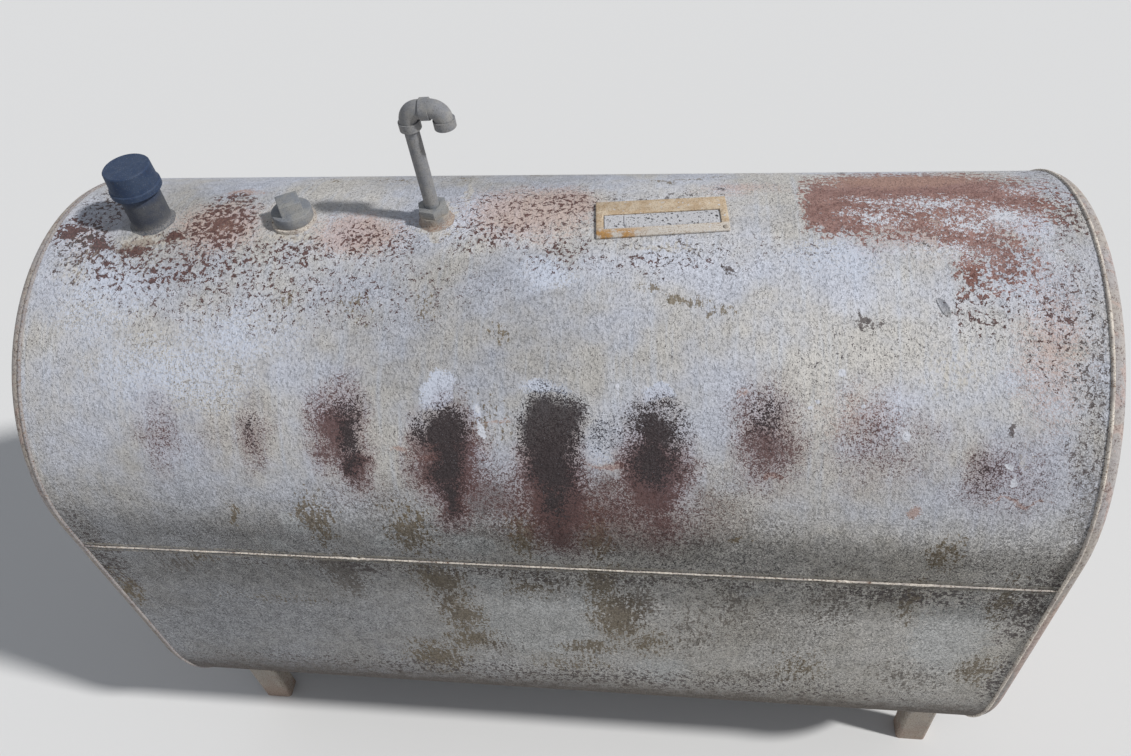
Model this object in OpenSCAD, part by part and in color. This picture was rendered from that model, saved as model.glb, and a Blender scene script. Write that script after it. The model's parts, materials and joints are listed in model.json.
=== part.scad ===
// Obround steel oil storage tank, lying on its long axis on four channel legs.
// The origin is on the floor under the middle of the tank: +X along it, -Y to the front, +Z up.

/* [Tank] */
// Width across the two flat sides
tank_w = 686; // [600:1:760]
// Height of the shell, without its legs
tank_h = 1118; // [1050:1:1300]
// Length of the rolled shell, from edge to edge
shell_len = 1518; // [1460:1:2000]
// Thickness of the steel sheet of shell and heads
sheet_t = 2.7; // [2:0.1:5]
// How far each pressed head stands out past the shell
head_depth = 21; // [16:1:40]
// Straight flange of a head, before its rounded knuckle
head_flange = 4; // [4:0.5:8]

/* [Seams] */
// Height from the tank's top down to the long seams in its sides
seam_drop = 402; // [385:1:560]
// Overlap of the lower sheet behind the upper one at those seams
seam_lap = 25; // [10:1:40]
// Radius of the weld bead along the side seams
seam_bead_r = 2.5; // [1.5:0.25:4]
// Radius of the weld bead that joins each head to the shell
head_bead_r = 3.5; // [2:0.25:4]

/* [Legs] */
// Clear height under the tank
leg_clear = 81; // [60:1:200]
// Width of a leg's outer face
leg_w = 60; // [40:1:90]
// Depth of a leg, from its outer face towards the tank's middle
leg_d = 38; // [30:1:60]
// Thickness of the bent plate of a leg
leg_t = 5; // [3:0.5:7]
// Outer radius of a leg's bends
leg_bend_r = 8; // [7.5:0.5:12]
// Distance from the tank's flat side in to a leg's outer face
leg_side_inset = 93; // [60:1:160]
// Distance from the shell's edge in to the near side of a leg
leg_end_inset = 20; // [5:1:250]

/* [Fill pipe] */
// Distance from the shell's left edge to the fill pipe's middle
fill_inset = 154; // [99:1:259]
// Outer diameter of the fill pipe
fill_pipe_d = 60.3; // [48.3:0.1:73]
// Wall of the fill pipe
fill_pipe_t = 3.9; // [2.5:0.1:6]
// Height of the cap's lower edge above the tank's top
fill_rise = 60; // [45:1:120]
// Height of the cap
cap_h = 40; // [25:1:60]
// Thickness of the cap's side wall at its top
cap_side_t = 4.4; // [3:0.1:8]
// Thickness of the cap's top
cap_top_t = 6; // [3:0.5:10]
// How far the band round the cap's lower edge stands out from the side above it
cap_band_out = 2.2; // [1:0.1:5]
// Height of that band
cap_band_h = 10; // [5:0.5:15]
// How much wider each side of the cap gets from its top down to the band
cap_flare = 1.2; // [0:0.1:3]

/* [Square-head plug] */
// Distance from the shell's left edge to the plug's middle
plug_inset = 385; // [299:1:499]
// Diameter of the plug's round body
plug_d = 60.3; // [48.3:0.1:73]
// Visible height of that body
plug_body_h = 17; // [8:0.5:30]
// How far that body stands out past the plug's shank
plug_shoulder = 2.15; // [1:0.05:5]
// Width of the square head across its flats
plug_head_w = 33.3; // [20:0.1:40]
// Height of the square head
plug_head_h = 18; // [10:0.5:30]
// Turn of the square head from the tank's length
plug_turn = 29; // [0:1:45]
// How far the welded ring under the plug stands out past the plug's body
spud_out = 3.85; // [2:0.05:15]
// Height of that ring above the tank's top
spud_h = 4; // [2:0.5:15]

/* [Vent] */
// Distance from the shell's left edge to the vent's middle
vent_inset = 606; // [539:1:699]
// Lean of the vent towards the fill pipe, in degrees
vent_lean = 2; // [-4:0.5:4]
// Wall of the welded collar
collar_t = 5.25; // [4:0.05:12]
// Height of the collar above the tank's top
collar_h = 16; // [10:0.5:30]
// Diameter of the bushing's shank in the collar
bushing_shank_d = 33.4; // [30:0.1:36]
// Width of the bushing's hexagon across its flats
hex_w = 40; // [37:0.5:50]
// Height of the hexagon
hex_h = 12; // [8:0.5:20]
// Turn of the hexagon from the tank's length
hex_turn = -14; // [-30:1:30]
// Outer diameter of the vent pipe
vent_pipe_d = 21.3; // [17.1:0.1:24]
// Wall of the vent pipe
vent_pipe_t = 2.8; // [2:0.1:3.5]
// Height of the elbows' centre line above the tank's top
vent_rise = 186; // [120:1:400]
// Wall of an elbow outside the pipe's own diameter
elbow_t = 2.6; // [2:0.1:3.5]
// Radius of an elbow's bend
bend_r = 16.5; // [16:0.5:28]
// How far the bands round an elbow's mouths stand out from its bend
band_out = 2.25; // [1:0.05:4]
// Height of a band
band_h = 12; // [8:0.5:16]
// Straight neck between the first elbow's bend and the second elbow's band
elbow_neck = 4; // [1:0.5:12]
// Wall left between the end of a screwed-in pipe and the bend behind it
thread_stop = 1; // [0.5:0.5:3]
// Depth of the thread in the vent's free mouth
thread_t = 0.35; // [0.1:0.05:1]

/* [Data plate] */
// Distance from the shell's right edge to the plate's middle
plate_inset = 578; // [359:1:699]
// Place of the plate's centre across the tank
plate_y = 6; // [-60:1:60]
// Turn of the plate from the tank's length
plate_turn = 5; // [-10:1:10]
// Length of the plate's frame
plate_l = 190; // [120:1:260]
// Width of the plate's frame
plate_w = 82; // [70:1:110]
// Thickness of the frame
frame_t = 4; // [2:0.5:8]
// Width of the frame at each end of its window
frame_end_w = 11; // [5:1:30]
// Width of the frame behind the window
frame_back_w = 33; // [10:1:40]
// Width of the frame before the window
frame_front_w = 17; // [5:1:25]
// Thickness of the panel in the window
panel_t = 1.5; // [0.8:0.1:2]

/* [Fits] */
// Gap between a piece and the hole that it stands in, or the round top that it lies on
fit_gap = 0.3; // [0.1:0.05:0.6]
// Size of the fillet welds round the fittings
fillet = 7; // [3:0.5:12]
// How far pipe ends and shanks reach through the tank's wall
inner_end = 8; // [5:0.5:20]
// How deep pieces that stand on the round top start, before the tank's outline is cut from them
root = 12; // [10:1:30]

/* [Hidden] */
$fn = 96;
tank_fn = 360;

paint = "#a9abb0";
weld_paint = "#b9b6ab";
fitting_paint = "#79828a";
leg_paint = "#8f9092";
plate_paint = "#a3937b";

tank_r = tank_w / 2;
flat_h = tank_h - tank_w;
low_axis_z = leg_clear + tank_r;
high_axis_z = low_axis_z + flat_h;
top_z = high_axis_z + tank_r;
edge_x = shell_len / 2;
knuckle_r = head_depth - head_flange;
seam_z = top_z - seam_drop;
leg_x = edge_x - leg_end_inset - leg_w / 2;
leg_y = tank_r - leg_side_inset;

// Places of the fittings and the plate along the tank, from its middle
fill_x = fill_inset - edge_x;
plug_x = plug_inset - edge_x;
vent_x = vent_inset - edge_x;
plate_x = edge_x - plate_inset;

// Heights above the tank's top, where the fittings' pieces meet
inner_end_h = -sheet_t - inner_end;
cap_top_h = fill_rise + cap_h;
plug_top_h = spud_h + plug_body_h;
hex_top_h = collar_h + hex_h;

plug_shank_d = plug_d - 2 * plug_shoulder;
spud_d = plug_d + 2 * spud_out;
collar_d = bushing_shank_d + 2 * (fit_gap + collar_t);

elbow_d = vent_pipe_d + 2 * elbow_t;
band_d = elbow_d + 2 * band_out;
elbow_reach = bend_r + band_h;
second_x = bend_r + elbow_neck + elbow_reach;
screw_depth = band_h - thread_stop;
neck_r = vent_pipe_d / 2;
flow_r = neck_r - vent_pipe_t;
mouth_r = neck_r - thread_t;

window_l = plate_l - 2 * frame_end_w;
window_w = plate_w - frame_back_w - frame_front_w;
window_y = (frame_front_w - frame_back_w) / 2;

// How far a cut runs past what it cuts
past = 1;

// Half the cross-section of a head: 2D x outwards from a round end's axis, 2D y along the tank
module head_profile(inset) {
    r = tank_r - inset;
    depth = head_depth - inset;
    knuckle = knuckle_r - inset;
    square([r - knuckle, depth]);
    square([r, depth - knuckle]);
    intersection() {
        translate([r - knuckle, depth - knuckle]) circle(knuckle);
        square([r, depth]);
    }
}

// Outline of the tank across its length: 2D x to the back, 2D y up
module obround(inset = 0) {
    r = tank_r - inset;
    for (z = [low_axis_z, high_axis_z])
        translate([0, z]) circle(r, $fn = tank_fn);
    translate([-r, low_axis_z]) square([2 * r, flat_h]);
}

// Anything drawn across the tank, pulled out along it
module along_tank(x0, x1)
    translate([x0, 0, 0]) rotate([90, 0, 90]) linear_extrude(x1 - x0) children();

module tank_solid()
    along_tank(-edge_x, edge_x) obround();

// A layer that lies on the top of the tank
module top_layer(t)
    along_tank(-edge_x, edge_x)
        translate([0, high_axis_z]) difference() {
            circle(tank_r + t, $fn = tank_fn);
            circle(tank_r + fit_gap, $fn = tank_fn);
        }

module sheet_outline() difference() {
    obround();
    obround(sheet_t);
}

// Anything that stands on the tank's top, with its own height 0 there
module on_top(x, lean = 0)
    translate([x, 0, top_z]) rotate([0, -lean, 0]) children();

// The hole through the top for a shank of diameter d
module drill(d)
    translate([0, 0, -tank_r]) cylinder(h = 2 * tank_r, d = d + 2 * fit_gap);

module shell_upper() color(paint) difference() {
    along_tank(-edge_x, edge_x) intersection() {
        sheet_outline();
        translate([-tank_w, seam_z]) square([2 * tank_w, tank_h]);
    }
    on_top(fill_x) drill(fill_pipe_d);
    on_top(plug_x) drill(plug_shank_d);
    on_top(vent_x, vent_lean) drill(bushing_shank_d);
}

module shell_lower() color(paint) along_tank(-edge_x, edge_x) {
    intersection() {
        sheet_outline();
        translate([-tank_w, seam_z - tank_h]) square([2 * tank_w, tank_h]);
    }
    for (side = [-1, 1])
        translate([side * (tank_r - 1.5 * sheet_t) - sheet_t / 2, seam_z - seam_lap])
            square([sheet_t, 2 * seam_lap]);
}

// A head filled solid, swept round both ends and along the two straight sides
module head_block(inset) {
    for (z = [low_axis_z, high_axis_z])
        translate([0, 0, z]) rotate([0, 90, 0]) rotate_extrude($fn = tank_fn) head_profile(inset);
    for (side = [0, 1])
        translate([0, 0, low_axis_z]) mirror([0, side, 0])
            linear_extrude(flat_h) mirror([1, -1, 0]) head_profile(inset);
}

module head() difference() {
    head_block(0);
    head_block(sheet_t);
}

module head_right() color(paint) translate([edge_x, 0, 0]) head();
module head_left() color(paint) mirror([1, 0, 0]) translate([edge_x, 0, 0]) head();

// The half of a round bead that stands out of the surface at 2D x = 0
module bead_profile(r) intersection() {
    circle(r, $fn = 32);
    translate([0, -r]) square([r, 2 * r]);
}

// A bead of weld all round the joint of shell and head
module ring_bead() {
    for (top = [true, false])
        translate([0, 0, top ? high_axis_z : low_axis_z]) rotate([0, 90, 0]) rotate([0, 0, top ? 90 : -90])
            rotate_extrude(angle = 180, $fn = tank_fn) translate([tank_r, 0]) bead_profile(head_bead_r);
    for (turn = [90, -90])
        translate([0, 0, low_axis_z]) rotate([0, 0, turn]) translate([tank_r, 0, 0])
            linear_extrude(flat_h) bead_profile(head_bead_r);
}

module head_weld_right() color(weld_paint) translate([edge_x, 0, 0]) ring_bead();
module head_weld_left() color(weld_paint) mirror([1, 0, 0]) translate([edge_x, 0, 0]) ring_bead();

// A bead along the edge of the upper sheet, between the two ring beads
module side_bead(turn)
    translate([0, 0, seam_z]) rotate([0, 0, turn]) translate([tank_r, 0, 0]) rotate([90, 0, 0])
        linear_extrude(shell_len - 2 * head_bead_r, center = true) bead_profile(seam_bead_r);

module seam_weld_front() color(weld_paint) side_bead(-90);
module seam_weld_back() color(weld_paint) side_bead(90);

// Bent channel seen from above, its outer face on the line y = 0
module channel_block(w, d, r) {
    translate([-w / 2, r]) square([w, d - r]);
    translate([-w / 2 + r, 0]) square([w - 2 * r, d]);
    for (side = [-1, 1])
        translate([side * (w / 2 - r), r]) circle(r);
}

module leg() linear_extrude(low_axis_z) difference() {
    channel_block(leg_w, leg_d, leg_bend_r);
    translate([0, leg_t]) channel_block(leg_w - 2 * leg_t, leg_d, leg_bend_r - leg_t);
}

module placed_leg(x_side, y_side) color(leg_paint) difference() {
    translate([x_side * leg_x, 0, 0]) mirror([0, y_side > 0 ? 1 : 0, 0])
        translate([0, -leg_y, 0]) leg();
    tank_solid();
}

module leg_front_left() placed_leg(-1, -1);
module leg_front_right() placed_leg(1, -1);
module leg_back_left() placed_leg(-1, 1);
module leg_back_right() placed_leg(1, 1);

// A pipe of outer radius r with the vent's bore, from height low to height high
module vent_tube(low, high, r) difference() {
    translate([0, 0, low]) cylinder(h = high - low, r = r);
    translate([0, 0, low - past]) cylinder(h = high - low + 2 * past, r = flow_r);
}

// A ring that stands on the round top to height h, with a hole for a shank of diameter shank_d
module welded_ring(h, d, shank_d) difference() {
    translate([0, 0, -root]) cylinder(h = root + h, d = d);
    drill(shank_d);
}

// A fillet weld round an upright piece of diameter d, no higher than half of that piece
module fillet_weld(d, piece_h) {
    r = d / 2;
    size = min(fillet, piece_h / 2);
    rotate_extrude() polygon([[r, -root], [r + size, -root], [r + size, 0], [r, size]]);
}

module fill_weld() color(weld_paint) difference() {
    on_top(fill_x) fillet_weld(fill_pipe_d, fill_rise);
    tank_solid();
}

module fill_pipe() color(fitting_paint) on_top(fill_x) difference() {
    h = cap_top_h - cap_top_t - inner_end_h;
    translate([0, 0, inner_end_h]) cylinder(h = h, d = fill_pipe_d);
    translate([0, 0, inner_end_h - past])
        cylinder(h = h + 2 * past, d = fill_pipe_d - 2 * fill_pipe_t);
}

module fill_cap() color(fitting_paint) on_top(fill_x) translate([0, 0, fill_rise]) rotate_extrude() {
    bore = fill_pipe_d / 2 + fit_gap;
    top_r = bore + cap_side_t;
    low_r = top_r + cap_flare;
    band_r = low_r + cap_band_out;
    edge = cap_side_t / 3;
    polygon([
        [bore, 0], [band_r - edge / 2, 0], [band_r, edge / 2], [band_r, cap_band_h - edge],
        [low_r, cap_band_h], [top_r, cap_h - edge], [top_r - edge, cap_h], [0, cap_h],
        [0, cap_h - cap_top_t], [bore, cap_h - cap_top_t]
    ]);
}

module plug_spud() color(weld_paint) difference() {
    on_top(plug_x) welded_ring(spud_h, spud_d, plug_shank_d);
    tank_solid();
}

module square_plug() color(fitting_paint) on_top(plug_x) {
    translate([0, 0, inner_end_h]) cylinder(h = spud_h - inner_end_h, d = plug_shank_d);
    translate([0, 0, spud_h]) cylinder(h = plug_body_h, d = plug_d);
    translate([0, 0, plug_top_h]) rotate([0, 0, plug_turn])
        linear_extrude(plug_head_h) square(plug_head_w, center = true);
}

module vent_weld() color(weld_paint) difference() {
    on_top(vent_x, vent_lean) fillet_weld(collar_d, collar_h);
    tank_solid();
}

module vent_collar() color(fitting_paint) difference() {
    on_top(vent_x, vent_lean) welded_ring(collar_h, collar_d, bushing_shank_d);
    tank_solid();
}

// The hole that a screwed-in pipe or neck stands in, going up from its mouth at height 0
module socket()
    translate([0, 0, -past]) cylinder(h = screw_depth + past, r = neck_r + fit_gap);

module vent_bushing() color(fitting_paint) on_top(vent_x, vent_lean) difference() {
    union() {
        translate([0, 0, inner_end_h]) cylinder(h = collar_h - inner_end_h, d = bushing_shank_d);
        translate([0, 0, collar_h]) rotate([0, 0, hex_turn])
            cylinder(h = hex_h, d = hex_w / cos(30), $fn = 6);
    }
    translate([0, 0, hex_top_h]) mirror([0, 0, 1]) socket();
    translate([0, 0, inner_end_h - past]) cylinder(h = hex_top_h - inner_end_h, r = flow_r);
}

module vent_pipe() color(fitting_paint) on_top(vent_x, vent_lean)
    vent_tube(hex_top_h - screw_depth, vent_rise - elbow_reach + screw_depth, neck_r);

// Quarter bend from below to the side: it comes up the z axis and leaves along +x at height r
module quarter_bend(r, tube_r)
    translate([r, 0, 0]) rotate([90, 0, 0]) rotate([0, 0, 90]) rotate_extrude(angle = 90)
        translate([r, 0]) circle(tube_r);

// An elbow's outside about its centre, with a band round the mouth below; what leaves the bend
// along +x is drawn along +z
module elbow_body() {
    translate([0, 0, -elbow_reach]) cylinder(h = band_h, d = band_d);
    translate([0, 0, -bend_r]) quarter_bend(bend_r, elbow_d / 2);
    translate([bend_r, 0, 0]) rotate([0, 90, 0]) children();
}

module vent_street_elbow() color(fitting_paint) on_top(vent_x, vent_lean) translate([0, 0, vent_rise])
    difference() {
        elbow_body() {
            cylinder(h = elbow_neck, d = elbow_d);
            cylinder(h = elbow_neck + screw_depth, r = neck_r);
        }
        translate([0, 0, -elbow_reach]) socket();
        translate([0, 0, -bend_r - thread_stop - past]) cylinder(h = thread_stop + past, r = flow_r);
        translate([0, 0, -bend_r]) quarter_bend(bend_r, flow_r);
        translate([bend_r, 0, 0]) rotate([0, 90, 0])
            cylinder(h = elbow_neck + screw_depth + past, r = flow_r);
    }

module vent_elbow() color(fitting_paint) on_top(vent_x, vent_lean)
    translate([second_x, 0, vent_rise]) mirror([1, 0, 0]) difference() {
        elbow_body() cylinder(h = band_h, d = band_d);
        translate([0, 0, -elbow_reach - past]) cylinder(h = band_h + past, r = mouth_r);
        translate([0, 0, -bend_r]) quarter_bend(bend_r, flow_r);
        translate([bend_r, 0, 0]) rotate([0, 90, 0]) cylinder(h = thread_stop + past, r = flow_r);
        translate([elbow_reach, 0, 0]) rotate([0, -90, 0]) socket();
    }

// A flat outline on the tank's top, at the data plate's place
module on_plate(t) intersection() {
    top_layer(t);
    translate([plate_x, plate_y, high_axis_z]) rotate([0, 0, plate_turn])
        linear_extrude(2 * tank_r) children();
}

module plate_frame() color(plate_paint) on_plate(frame_t) difference() {
    square([plate_l, plate_w], center = true);
    translate([0, window_y]) square([window_l, window_w], center = true);
}

module plate_panel() color(paint) on_plate(panel_t)
    translate([0, window_y]) square([window_l - 2 * fit_gap, window_w - 2 * fit_gap], center = true);

shell_upper();
shell_lower();
head_left();
head_right();
head_weld_left();
head_weld_right();
seam_weld_front();
seam_weld_back();
leg_front_left();
leg_front_right();
leg_back_left();
leg_back_right();
fill_weld();
fill_pipe();
fill_cap();
plug_spud();
square_plug();
vent_weld();
vent_collar();
vent_bushing();
vent_pipe();
vent_street_elbow();
vent_elbow();
plate_frame();
plate_panel();
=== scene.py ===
# Weathered obround steel oil storage tank: paint, rust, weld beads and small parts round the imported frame
import json
import math
import bmesh
import bpy
from mathutils import Matrix, Vector
from mathutils import noise as clouds


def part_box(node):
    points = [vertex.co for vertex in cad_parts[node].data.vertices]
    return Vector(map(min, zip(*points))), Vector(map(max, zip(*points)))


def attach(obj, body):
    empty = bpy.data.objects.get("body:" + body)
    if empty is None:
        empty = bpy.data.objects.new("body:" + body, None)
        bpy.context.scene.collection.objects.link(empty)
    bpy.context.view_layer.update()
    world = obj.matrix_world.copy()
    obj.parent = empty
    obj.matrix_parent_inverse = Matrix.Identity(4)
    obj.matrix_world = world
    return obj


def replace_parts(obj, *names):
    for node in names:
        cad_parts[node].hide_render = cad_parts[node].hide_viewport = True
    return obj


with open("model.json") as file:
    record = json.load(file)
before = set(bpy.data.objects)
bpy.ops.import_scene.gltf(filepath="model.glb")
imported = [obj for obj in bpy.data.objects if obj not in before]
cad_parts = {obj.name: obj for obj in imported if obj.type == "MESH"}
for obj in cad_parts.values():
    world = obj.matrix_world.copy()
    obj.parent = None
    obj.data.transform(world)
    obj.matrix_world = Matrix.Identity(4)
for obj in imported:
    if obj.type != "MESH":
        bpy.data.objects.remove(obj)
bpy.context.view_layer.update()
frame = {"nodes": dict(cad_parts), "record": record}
nodes = frame["nodes"]


# sizes of the tank, read from its sheets
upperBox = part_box("shell_upper")
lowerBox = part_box("shell_lower")
tankRadius = upperBox[1].y
highAxis = upperBox[1].z - tankRadius
lowAxis = lowerBox[0].z + tankRadius
tankEdge = upperBox[1].x
seamHeight = upperBox[0].z
seamWay = math.pi / 2 * tankRadius + highAxis - seamHeight  # from the crest round to the side seam


# colours are written as a picture shows them, from 0 to 255
def shade(colour):
    steps = [value / 255 for value in colour]
    light = [v / 12.92 if v <= 0.04045 else ((v + 0.055) / 1.055) ** 2.4 for v in steps]
    return (*light, 1.0)


# sets a socket, or links it where the value comes from another node
def feed(tree, socket, value):
    if isinstance(value, bpy.types.NodeSocket):
        tree.links.new(value, socket)
    else:
        socket.default_value = value


# small helpers that add one node each and hand back its output
def maths(tree, operation, *values):
    node = tree.nodes.new("ShaderNodeMath")
    node.operation = operation
    for socket, value in zip(node.inputs, values):
        feed(tree, socket, value)
    return node.outputs[0]


def times(tree, first, second):
    return maths(tree, "MULTIPLY", first, second)


def noise(tree, vector, scale, detail, rough, colour=False, twist=0.0):
    node = tree.nodes.new("ShaderNodeTexNoise")
    feed(tree, node.inputs["Vector"], vector)
    node.inputs["Scale"].default_value = scale
    node.inputs["Detail"].default_value = detail
    node.inputs["Roughness"].default_value = rough
    node.inputs["Distortion"].default_value = twist
    return node.outputs["Color" if colour else "Fac"]


def rise(tree, value, low, high):
    node = tree.nodes.new("ShaderNodeMapRange")
    node.interpolation_type = "SMOOTHSTEP"
    feed(tree, node.inputs["Value"], value)
    feed(tree, node.inputs["From Min"], low)
    feed(tree, node.inputs["From Max"], high)
    return node.outputs[0]


def cover(tree, amount, under, over, mode="MIX"):
    node = tree.nodes.new("ShaderNodeMix")
    node.data_type = "RGBA"
    node.blend_type = mode
    feed(tree, node.inputs[0], amount)
    feed(tree, node.inputs[6], under)
    feed(tree, node.inputs[7], over)
    return node.outputs[2]


def stretched(tree, vector, size):
    node = tree.nodes.new("ShaderNodeMapping")
    node.vector_type = "TEXTURE"
    tree.links.new(vector, node.inputs["Vector"])
    node.inputs["Scale"].default_value = size
    return node.outputs[0]


def objectPlace(tree):
    return tree.nodes.new("ShaderNodeTexCoord").outputs["Object"]


def axes(tree, vector):
    node = tree.nodes.new("ShaderNodeSeparateXYZ")
    tree.links.new(vector, node.inputs[0])
    return tuple(node.outputs)


def joined(tree, x, y):
    node = tree.nodes.new("ShaderNodeCombineXYZ")
    feed(tree, node.inputs[0], x)
    feed(tree, node.inputs[1], y)
    return node.outputs[0]


def shifted(tree, vector, push):
    node = tree.nodes.new("ShaderNodeVectorMath")
    node.operation = "ADD"
    tree.links.new(vector, node.inputs[0])
    tree.links.new(push, node.inputs[1])
    return node.outputs[0]


# a sum of fields, each with its share
def weigh(tree, *pairs):
    total = None
    for value, share in pairs:
        part = times(tree, value, share)
        total = part if total is None else maths(tree, "ADD", total, part)
    return total


# two shades of one paint, mottled by a noise between two levels
def mottled(tree, cloud, levels, shades):
    first, second = shades
    return cover(tree, rise(tree, cloud, *levels), shade(first), shade(second))


# a colour laid over another where a field is strong, and no more of it than its share
def lay(tree, colour, field, share, over):
    return cover(tree, times(tree, field, share), colour, over)


def newMaterial(name, roughness):
    material = bpy.data.materials.new(name)
    material.use_nodes = True
    tree = material.node_tree
    tree.nodes.clear()
    shader = tree.nodes.new("ShaderNodeBsdfPrincipled")
    shader.inputs["Roughness"].default_value = roughness
    shader.inputs["Specular IOR Level"].default_value = 0.2
    output = tree.nodes.new("ShaderNodeOutputMaterial")
    tree.links.new(shader.outputs["BSDF"], output.inputs["Surface"])
    return material, tree


# links a finished colour and a relief to a material, and hands the material back
def finished(material, colour, height, depth):
    tree = material.node_tree
    shader = tree.nodes["Principled BSDF"]
    tree.links.new(colour, shader.inputs["Base Color"])
    relief = tree.nodes.new("ShaderNodeBump")
    relief.inputs["Distance"].default_value = depth
    tree.links.new(height, relief.inputs["Height"])
    tree.links.new(relief.outputs["Normal"], shader.inputs["Normal"])
    return material


# the height of the nearest point between the tank's two axes
def heldHeight(tree, up):
    return maths(tree, "MAXIMUM", maths(tree, "MINIMUM", up, highAxis), lowAxis)


# the tank's skin laid out flat: x along it, y round it from the crest; signed is positive to the front
def skinPlace(tree):
    spot = objectPlace(tree)
    along, across, up = axes(tree, spot)
    held = heldHeight(tree, up)
    angle = maths(tree, "ARCTAN2", maths(tree, "ABSOLUTE", across), maths(tree, "SUBTRACT", up, held))
    way = maths(tree, "MULTIPLY_ADD", angle, tankRadius, maths(tree, "SUBTRACT", highAxis, held))
    front = times(tree, maths(tree, "SIGN", across), -1.0)
    signed = joined(tree, along, times(tree, way, front))
    same = joined(tree, along, way)
    return {"spot": spot, "along": along, "way": way, "signed": signed, "same": same}


# a push by noise, so that the edges of marks wander
def nudge(tree, spot, amount, scale):
    cloud = noise(tree, spot, scale, 2.0, 0.55, colour=True)
    node = tree.nodes.new("ShaderNodeVectorMath")
    node.operation = "MULTIPLY_ADD"
    tree.links.new(cloud, node.inputs[0])
    node.inputs[1].default_value = (amount, amount, 0.0)
    node.inputs[2].default_value = (-amount / 2, -amount / 2, 0.0)
    return node.outputs[0]


# soft round patches in millimetres: x, way round, half length, half height and strength
def patches(tree, vector, spots):
    total = 0.0
    for x, way, halfLength, halfHeight, strength in spots:
        away = tree.nodes.new("ShaderNodeVectorMath")
        away.operation = "MULTIPLY_ADD"
        tree.links.new(vector, away.inputs[0])
        away.inputs[1].default_value = (1000 / halfLength, 1000 / halfHeight, 0.0)
        away.inputs[2].default_value = (-x / halfLength, -way / halfHeight, 0.0)
        reach = tree.nodes.new("ShaderNodeVectorMath")
        reach.operation = "LENGTH"
        tree.links.new(away.outputs[0], reach.inputs[0])
        spot = maths(tree, "MULTIPLY_ADD", reach.outputs["Value"], -strength, strength)
        total = maths(tree, "MAXIMUM", spot, total)
    return total


# breaks a soft field up into grains: none where the field is nought, all of it where the field is one
def broken(tree, field, grit, soft):
    grown = times(tree, field, 1.0 + 2.0 * soft)
    return rise(tree, maths(tree, "SUBTRACT", grown, grit), 0.0, 2.0 * soft)


tankFinish = {
    "lilac": (180, 182, 190),
    "warm": (187, 183, 177),
    "blue": (189, 196, 209),
    "patch": (196, 201, 213),
    "pale": (186, 188, 188),
    # the lower half's two colours hold dirt and painted shade
    "dirtAndShadeLeft": (148, 148, 149),
    "dirtAndShadeRight": (188, 183, 174),
    "grime": (96, 87, 77),
    "rust": (108, 72, 64),
    "rustDark": (58, 38, 36),
    "rustLight": (188, 158, 146),
    "rustMid": (160, 124, 115),
    "orange": (170, 137, 122),
    "wash": (142, 112, 112),
    "maroon": (86, 58, 55),
    "black": (34, 27, 28),
    "ochre": (106, 90, 60),
    "dust": (202, 194, 180),
    "chip": (206, 207, 213),
    "speck": (94, 88, 88),
    "pit": (88, 80, 78),
    "bottom": (84, 71, 60),
    "roughness": 0.74,
    "depth": 0.0034,
}

# how much of each coat that isn't a list of marks shows
tankShares = {
    "streaks": 0.32, "lowDirtAndShade": 0.8, "clouds": 0.17, "wash": 0.5, "salt": 0.24,
    "seamDirtAndShadow": 0.32, "dust": 0.55, "bottom": 0.8,
}

# where the paint changes, in metres: way round from the crest, along the tank or away from the seam
tankZones = {
    "lowWay": (0.44, 0.60),
    "lowReliefWay": (0.40, 0.56),
    "underWay": (0.98, 1.1),
    "dirtAndShadeAlong": (-0.7, 0.5),
    "bigRustAlong": (0.38, 0.392),
    "coarseAlong": (-1.4, 0.6),
    "coarseAway": (0.13, 0.02),
    "seamDirtAndShadowAway": (0.02, 0.002),
    "seamHighlightLine": 0.008,
    "seamHighlightLineAway": (0.0042, 0.0012),
}

# grains in the paint: scale, detail, roughness, twist, and the two levels between which each rises
tankGrains = {
    "fine": (520.0, 2.0, 0.6, 0.0, 0.3, 0.7),
    "medium": (175.0, 3.0, 0.65, 0.0, 0.32, 0.68),
    "blotch": (44.0, 4.0, 0.65, 0.0, 0.34, 0.66),
    "worm": (142.0, 2.0, 0.5, 0.6, 0.3, 0.7),
}
streakSize = (0.014, 0.17, 1.0)
dragSize = (0.0065, 0.026, 1.0)
wander = {"amount": 0.055, "scale": 20.0}

# marks on the skin, roughly in their order; a mark of one side stays on the side where the photo shows it
# the grime band on the side below the curve is partly dirt and partly painted shade
grimeAndShadeBand = {"side": "bothSides", "grain": "grit", "soft": 0.5, "share": 0.58, "colour": "grime", "spots": [
    (120, 490, 420, 130, 0.9), (-220, 450, 220, 90, 0.55), (620, 530, 260, 90, 0.5),
    (-60, 440, 100, 90, 1.1), (0, 510, 330, 90, 0.75), (110, 410, 120, 80, 0.8), (260, 430, 90, 80, 0.7),
    (0, 600, 1000, 40, 0.4), (-500, 540, 300, 80, 0.4), (680, 660, 140, 90, 0.5), (-730, 560, 60, 400, 0.5),
    (745, 500, 40, 500, 0.7), (370, 740, 190, 260, 0.55),
]}
lightLow = {"side": "bothSides", "grain": "clump", "soft": 0.5, "share": 0.5, "colour": "pale", "spots": [
    (-30, 790, 150, 150, 1.7), (60, 700, 46, 60, 1.3), (640, 760, 100, 190, 1.3), (-365, 505, 28, 34, 1.5),
    (-240, 552, 28, 34, 1.4), (-90, 542, 42, 36, 1.5), (20, 562, 46, 22, 1.3), (-420, 560, 60, 40, 0.9),
    (320, 640, 60, 40, 0.8), (-80, 660, 50, 50, 1.0), (190, 930, 90, 90, 1.0),
]}
brighter = [
    (235, 70, 260, 110, 1.0), (480, 200, 300, 190, 1.3), (-30, -10, 170, 110, 1.4),
    (640, 780, 200, 260, 0.9), (-300, 40, 120, 90, 0.6), (-480, 900, 260, 150, 0.6),
    (600, 600, 300, 100, 1.3), (-600, 600, 240, 80, 1.2),
]
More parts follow.
